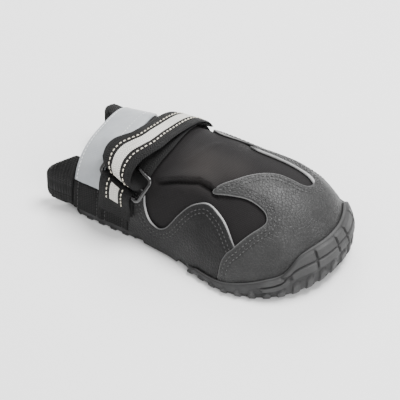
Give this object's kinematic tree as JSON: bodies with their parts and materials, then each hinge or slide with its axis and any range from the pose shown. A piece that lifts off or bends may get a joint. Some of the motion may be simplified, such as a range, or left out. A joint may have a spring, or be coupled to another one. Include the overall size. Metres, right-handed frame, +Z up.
{
  "type": "dog boot",
  "caption": "Dog boot with a rubber sole and toe bumper, grey toe cap and side overlays, a silver band, and a black webbing strap that turns back through a plastic ring.",
  "frame": {"origin": "middle of the boot's length and width, on the floor that it stands on", "axes": "+X towards the toe, +Y to the boot's left, +Z up"},
  "size_m": [0.158, 0.0856, 0.0522],
  "materials": {
    "rubber": "matt moulded rubber, fine grain",
    "cap_leather": "grained synthetic leather, mid grey",
    "side_leather": "grained synthetic leather, dark grey",
    "softshell": "black softshell cloth, matt",
    "mesh_cloth": "black padded mesh cloth",
    "woven": "black woven cloth",
    "silver_film": "silver reflective cloth, smooth",
    "webbing": "black webbing with a pale reflective stripe",
    "ring_plastic": "black moulded plastic, glossy",
    "insole_foam": "thin black cloth-faced foam"
  },
  "bodies": {
    "root": {"sole": "rubber", "insole": "insole_foam", "upper": "softshell", "toe_cap": "cap_leather", "quarter_right": "side_leather", "quarter_left": "side_leather", "heel_panel_right": "woven", "heel_panel_left": "woven", "reflective_band": "silver_film", "collar": "mesh_cloth", "strap": "webbing", "strap_tab": "webbing", "ring": "ring_plastic"}
  },
  "joints": []
}
